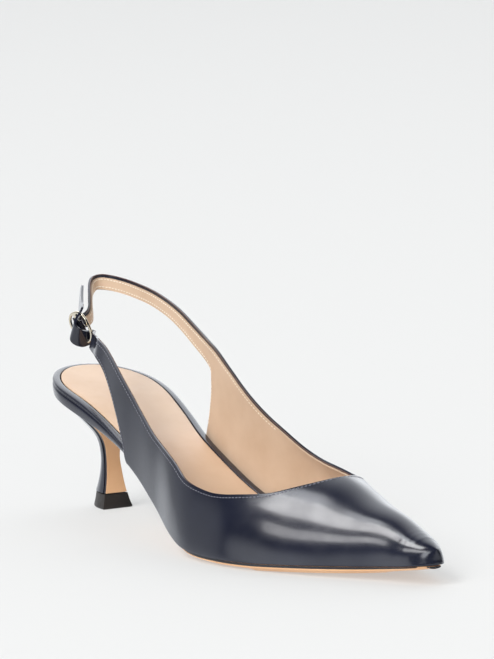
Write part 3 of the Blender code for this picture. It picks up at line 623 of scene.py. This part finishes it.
def edgeLine(sheet, inset, fromLow=False, start=0.0):
    # points and outward normals along a strap's edge, a distance in from it
    fine = ladderRows(sheet, 61)
    end = sheet["ringFrom"] - upper["sewnTo"][sheet["side"]]
    points, normals = [], []
    for i in range(sheet["throatFrom"], len(fine)):
        if not start <= sheet["place"][i] <= end:
            continue
        row = fine[i] if fromLow else fine[i][::-1]
        along = np.concatenate([[0], np.cumsum(np.linalg.norm(np.diff(row, axis=0), axis=1))])
        at = min(inset, along[-1] * 0.45)
        point = np.array([np.interp(at, along, row[:, axis]) for axis in range(3)])
        k = int(np.clip(np.searchsorted(along, at), 1, 59))
        before, after = fine[max(i - 1, 0)], fine[min(i + 1, len(fine) - 1)]
        j = k if fromLow else 60 - k
        ahead = after[j] - before[j]
        up = (row[k + 1] - row[k - 1]) * (1 if fromLow else -1)
        normals.append(unit(np.cross(ahead, up)) * sheet["side"])
        points.append(point)
    return np.array(points), np.array(normals)


def evenSteps(points, normals, pitch):
    along = np.concatenate([[0], np.cumsum(np.linalg.norm(np.diff(points, axis=0), axis=1))])
    at = np.arange(pitch / 2, along[-1] - pitch / 2, pitch)
    spots = np.stack([np.interp(at, along, points[:, axis]) for axis in range(3)], 1)
    tilts = unit(np.stack([np.interp(at, along, normals[:, axis]) for axis in range(3)], 1))
    ahead = unit(np.stack([np.interp(at + pitch * 0.3, along, points[:, axis]) for axis in range(3)], 1)
                 - np.stack([np.interp(at - pitch * 0.3, along, points[:, axis]) for axis in range(3)], 1))
    return spots, tilts, ahead


def threadRow(name, rows, thread, material):
    # one stitch is modelled once and copied along each row, sunk a little into the leather
    bpy.ops.object.select_all(action="DESELECT")
    bpy.ops.mesh.primitive_uv_sphere_add(segments=8, ring_count=6, radius=1)
    seed = bpy.context.object
    shape = np.array([v.co for v in seed.data.vertices])
    faces = [tuple(polygon.vertices) for polygon in seed.data.polygons]
    bpy.data.objects.remove(seed)
    verts, polygons = [], []
    for points, normals, lift in rows:
        spots, tilts, ahead = evenSteps(points, normals, thread["pitch"])
        for spot, tilt, run in zip(spots, tilts, ahead):
            side = unit(np.cross(tilt, run))
            start = len(verts)
            scaled = shape * np.array((thread["long"] / 2, thread["wide"] / 2, thread["high"] / 2))
            across = scaled[:, 1:2] * side
            verts += list(spot + tilt * lift + scaled[:, :1] * run + across + scaled[:, 2:] * tilt)
            polygons += [tuple(start + k for k in face) for face in faces]
    mesh = bpy.data.meshes.new(name)
    mesh.from_pydata([tuple(v + toRow) for v in verts], [], polygons)
    piece = bpy.data.objects.new(name, mesh)
    bpy.context.scene.collection.objects.link(piece)
    mesh.shade_smooth()
    dress(piece, material)
    print(name, len(polygons) // len(faces), "stitches")


# Stitches: their insets from the edges and the rungs where the lower and the lining's rows start
stitch = {
    "pitch": 0.00165, "long": 0.00125, "wide": 0.00042, "high": 0.00034, "raise": 0.00003,
    "topInset": 0.0015, "lowInset": 0.0013, "liningInset": 0.0020, "lowFrom": 5.25, "liningFrom": 2.0,
}
inside = -(upper["leather"] + upper["lining"] + stitch["raise"])
outerRows, innerRows = [], []
for sheet in (outerSide, innerSide):
    top = edgeLine(sheet, stitch["topInset"])
    low = edgeLine(sheet, stitch["lowInset"], True, stitch["lowFrom"])
    under = edgeLine(sheet, stitch["liningInset"], start=stitch["liningFrom"])
    outerRows += [(*top, stitch["raise"]), (*low, stitch["raise"])]
    innerRows += [(*under, inside), (*low, inside)]
threadRow("outerStitches", outerRows, stitch, navyThreadPaintedHighlight)
threadRow("liningStitches", innerRows, stitch, creamThread)


def edgeCord(name, rows, radius, material):
    # thin cut edge of the lining where it meets the folded leather
    pieces = []
    for points, normals, lift in rows:
        line = points + normals * lift
        curve = bpy.data.curves.new(name, "CURVE")
        curve.dimensions = "3D"
        curve.bevel_depth = radius
        curve.bevel_resolution = 1
        curve.use_fill_caps = True
        spline = curve.splines.new("POLY")
        spline.points.add(len(line) - 1)
        for spot, point in zip(spline.points, line):
            spot.co = (*(point + toRow), 1.0)
        piece = bpy.data.objects.new(name, curve)
        bpy.context.scene.collection.objects.link(piece)
        pick(piece)
        bpy.ops.object.convert(target="MESH")
        pieces.append(bpy.context.object)
    piece = joinPieces(pieces, name, 0)
    piece.data.shade_smooth()
    dress(piece, material)


cutRows = []
for sheet in (outerSide, innerSide):
    cutRows.append((*edgeLine(sheet, upper["cutInset"]), -upper["leather"]))
edgeCord("liningEdge", cutRows, upper["cutRadius"], cutEdge)
print("edge of the lining made")


# Board, sock, sole, heel and buckle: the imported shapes, merged back to four-sided faces and rounded
def roundedCopy(node, name, bevel, levels, segments=2, mark=None):
    piece = bpy.data.objects.new(name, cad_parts[node].data.copy())
    bpy.context.scene.collection.objects.link(piece)
    pick(piece)
    piece.data.name = name
    bpy.ops.object.mode_set(mode="EDIT")
    bpy.ops.mesh.select_all(action="SELECT")
    bpy.ops.mesh.customdata_custom_splitnormals_clear()
    bpy.ops.mesh.remove_doubles(threshold=2e-6)
    bpy.ops.mesh.tris_convert_to_quads(face_threshold=math.radians(60), shape_threshold=math.radians(60))
    bpy.ops.object.mode_set(mode="OBJECT")
    if mark:
        mark(piece)
    if bevel:
        rounding = piece.modifiers.new("rounding", "BEVEL")
        rounding.width = bevel
        rounding.segments = segments
        rounding.angle_limit = math.radians(35)
    finer = piece.modifiers.new("finer", "SUBSURF")
    finer.levels = finer.render_levels = levels
    applyAll(piece)
    smoothShade(piece, 60)
    return piece


board = roundedCopy("insole", "insoleBoard", 0.00025, 1)
dress(board, navyCalf, "insole")
sock = roundedCopy("sock", "sockCover", 0.0002, 1)
dress(sock, sockLeather, "sock")
soleEdge = {
    "round": 0.0003, "segments": 3, "flapTo": 0.075, "toeFrom": 0.2580, "rows": 3,
    "wall": 0.5, "upright": 0.7, "breast": 0.5, "thinFrom": 0.205, "thinTo": 0.2605, "thinBy": 0.60,
}


def thinToe(piece):
    # the sole thins out under the toe
    run = soleEdge["thinTo"] - soleEdge["thinFrom"]
    for corner in piece.data.vertices:
        x = corner.co.x - seatBack
        share = float(np.clip((x - soleEdge["thinFrom"]) / run, 0, 1))
        top = float(feather(min(x, last["boardTip"]))) - last["gap"]
        corner.co.z += (top - corner.co.z) * soleEdge["thinBy"] * share ** 3


def markPaint(piece):
    # the side wall is painted navy in its upper part, the rest and the underside stay bare
    thinToe(piece)
    piece.data.materials.append(None)
    piece.data.materials.append(None)
    wallFaces = {polygon.index for polygon in piece.data.polygons if abs(polygon.normal.z) < soleEdge["wall"]}
    corners = piece.data.vertices
    bpy.ops.object.mode_set(mode="EDIT")
    bpy.ops.mesh.select_all(action="DESELECT")
    bpy.ops.mesh.select_mode(type="EDGE")
    bpy.ops.object.mode_set(mode="OBJECT")
    upright = set()
    for polygon in piece.data.polygons:
        for key in polygon.edge_keys:
            line = corners[key[0]].co - corners[key[1]].co
            if polygon.index in wallFaces and abs(line.z) > soleEdge["upright"] * line.length:
                upright.add(key)
    for edge in piece.data.edges:
        ends = [corners[k].co.x - seatBack for k in edge.vertices]
        within = min(ends) > soleEdge["flapTo"] and max(ends) < soleEdge["toeFrom"]
        edge.select = within and tuple(sorted(edge.vertices)) in upright
    bpy.ops.object.mode_set(mode="EDIT")
    bpy.ops.mesh.subdivide(number_cuts=soleEdge["rows"] - 1)
    bpy.ops.object.mode_set(mode="OBJECT")
    flat = [polygon for polygon in piece.data.polygons if polygon.normal.z < -soleEdge["wall"]]
    under = {k for polygon in flat for k in polygon.vertices}
    for polygon in piece.data.polygons:
        onHeel = polygon.center.x < seatBack + soleEdge["flapTo"]
        atToe = polygon.center.x > seatBack + soleEdge["toeFrom"]
        wall = abs(polygon.normal.z) < soleEdge["wall"]
        aboveStrip = not under.intersection(polygon.vertices)
        breast = onHeel and polygon.normal.x > soleEdge["breast"]
        polygon.material_index = int((wall and (aboveStrip or atToe) or onHeel) and not breast)


def splitPaint(piece):
    pick(piece)
    for polygon in piece.data.polygons:
        polygon.select = polygon.material_index == 1
    bpy.ops.object.mode_set(mode="EDIT")
    bpy.ops.mesh.select_mode(type="FACE")
    bpy.ops.mesh.separate(type="SELECTED")
    bpy.ops.object.mode_set(mode="OBJECT")
    paint = next(item for item in bpy.context.selected_objects if item is not piece)
    paint.name = "soleEdgePaint"
    paint.data.name = "soleEdgePaint"
    return paint


sole = roundedCopy("outsole", "soleStrip", soleEdge["round"], 1, soleEdge["segments"], mark=markPaint)
paintedEdge = splitPaint(sole)
dress(sole, soleLeather, "outsole")
dress(paintedEdge, edgePaint)
heel = roundedCopy("heel", "heelCover", 0.0006, 2)
dress(heel, navyCalf, "heel")
topPiece = roundedCopy("top_piece", "topPiece", 0.0004, 1)
dress(topPiece, heelRubber, "top_piece")
buckle = roundedCopy("buckle_frame", "buckleRing", 0.0, 1)
dress(buckle, paleGold, "buckle_frame")
prong = roundedCopy("buckle_prong", "bucklePin", 0.0002, 1)
dress(prong, paleGold, "buckle_prong")
print("board, sock, sole, heel and buckle made")

# Floor, light and camera. A panel or a glow is placed by its direction from the toe, in degrees
studio = {
    "floor": (0.330, 0.330, 0.325), "floorGlow": 0.425, "sky": (0.93, 0.96, 1.00), "dark": 0.06,
    "lookAt": (0.07, 0.0, 0.02), "distance": 9.0,
    "glows": {
        "backdrop": {"azimuth": 150, "elevation": 0, "inner": 38, "outer": 56, "glow": 1.15},
        "tableWhite": {"azimuth": 0, "elevation": -90, "inner": 80, "outer": 86, "glow": 0.92},
        "lowSide": {"azimuth": -98, "elevation": -3, "inner": 9, "outer": 24, "glow": 1.60},
        "leftWall": {"azimuth": -144, "elevation": 4, "inner": 14, "outer": 30, "glow": 0.58},
        "topRear": {"azimuth": 138, "elevation": 36, "inner": 14, "outer": 58, "glow": 2.10},
        "softboxSpill": {"azimuth": -124, "elevation": 60, "inner": 3, "outer": 8, "glow": 7.00},
        "toeGlint": {"azimuth": -52, "elevation": 19, "inner": 8, "outer": 14, "glow": 5.50},
    },
    "panels": {
        "topSoftbox": {"azimuth": -93, "elevation": 53, "wide": 25, "high": 16, "glow": 11.5},
        "sideStrip": {"azimuth": -77, "elevation": 33.8, "wide": 38, "high": 9, "glow": 7.4},
        "frontFill": {"azimuth": -52, "elevation": 32, "wide": 60, "high": 40, "glow": 1.4, "unseen": True},
        "toeFill": {"azimuth": 0, "elevation": 15, "wide": 60, "high": 20, "glow": 1.9, "unseen": True},
        "overheadFill": {
            "azimuth": 60, "elevation": 85, "wide": 80, "high": 60, "glow": 0.15, "unseen": True,
        },
    },
}


def aim(spot):
    a, e = math.radians(spot["azimuth"]), math.radians(spot["elevation"])
    return Vector((math.cos(a) * math.cos(e), math.sin(a) * math.cos(e), math.sin(e)))


def makeFloor():
    bpy.ops.object.select_all(action="DESELECT")
    bpy.ops.mesh.primitive_plane_add(size=60, location=(0, 0, 0))
    floor = bpy.context.object
    floor.name = "floor"
    paint = {"Specular IOR Level": 0.1, "Emission Color": (1.0, 1.0, 0.99, 1.0),
             "Emission Strength": studio["floorGlow"]}
    floor.data.materials.append(newMaterial("floorPaint", studio["floor"], 0.9, **paint))
    floor.visible_glossy = False  # the sky's tableWhite stands for it in reflections


def makeSky():
    # a dark studio with soft glows, each fading from its inner to its outer angle
    world = bpy.data.worlds.new("studio")
    bpy.context.scene.world = world
    world.use_nodes = True
    tree = world.node_tree
    sky = tree.nodes["Background"]
    sky.inputs["Color"].default_value = (*studio["sky"], 1.0)
    way = tree.nodes.new("ShaderNodeTexCoord")
    total = None
    for spot in studio["glows"].values():
        facing = tree.nodes.new("ShaderNodeVectorMath")
        facing.operation = "DOT_PRODUCT"
        facing.inputs[1].default_value = aim(spot)
        fade = tree.nodes.new("ShaderNodeMapRange")
        fade.interpolation_type = "SMOOTHSTEP"
        fade.inputs["From Min"].default_value = math.cos(math.radians(spot["outer"]))
        fade.inputs["From Max"].default_value = math.cos(math.radians(spot["inner"]))
        fade.inputs["To Min"].default_value = 0.0
        fade.inputs["To Max"].default_value = spot["glow"]
        tree.links.new(way.outputs["Generated"], facing.inputs[0])
        tree.links.new(facing.outputs["Value"], fade.inputs["Value"])
        brighter = tree.nodes.new("ShaderNodeMath")
        brighter.operation = "MAXIMUM"
        brighter.inputs[0].default_value = studio["dark"]
        if total:
            tree.links.new(total.outputs["Value"], brighter.inputs[0])
        tree.links.new(fade.outputs["Result"], brighter.inputs[1])
        total = brighter
    tree.links.new(total.outputs["Value"], sky.inputs["Strength"])


def makePanel(name, panel):
    spot, out = Vector(studio["lookAt"]), aim(panel)
    bpy.ops.object.light_add(type="AREA", location=spot + out * studio["distance"])
    light = bpy.context.object
    light.name = name
    light.data.shape = "RECTANGLE"
    light.data.size = 2 * studio["distance"] * math.tan(math.radians(panel["wide"] / 2))
    light.data.size_y = 2 * studio["distance"] * math.tan(math.radians(panel["high"] / 2))
    light.data.energy = panel["glow"] * math.pi * light.data.size * light.data.size_y
    light.rotation_euler = out.to_track_quat("Z", "Y").to_euler()
    light.visible_glossy = not panel.get("unseen", False)  # a fill lights the shoe without a mirror image


makeFloor()
makeSky()
for panelName, panel in studio["panels"].items():
    makePanel(panelName, panel)
view = {"at": (1.66815, -0.88020, 0.31408), "right": (0.50281, 0.86405, -0.02439),
        "up": (-0.09871, 0.08543, 0.99144), "back": (0.85874, -0.49610, 0.12825), "lens": 245.67}
bpy.ops.object.camera_add()
camera = bpy.context.object
camera.data.lens = view["lens"]
camera.data.sensor_width = 36
camera.data.clip_start, camera.data.clip_end = 0.05, 60
turnMatrix = Matrix((view["right"], view["up"], view["back"])).transposed()
camera.matrix_world = Matrix.Translation(Vector(view["at"]) + Vector(toRow)) @ turnMatrix.to_4x4()
bpy.context.scene.camera = camera
bpy.context.scene.view_settings.view_transform = "Standard"
print("floor, light and camera made")
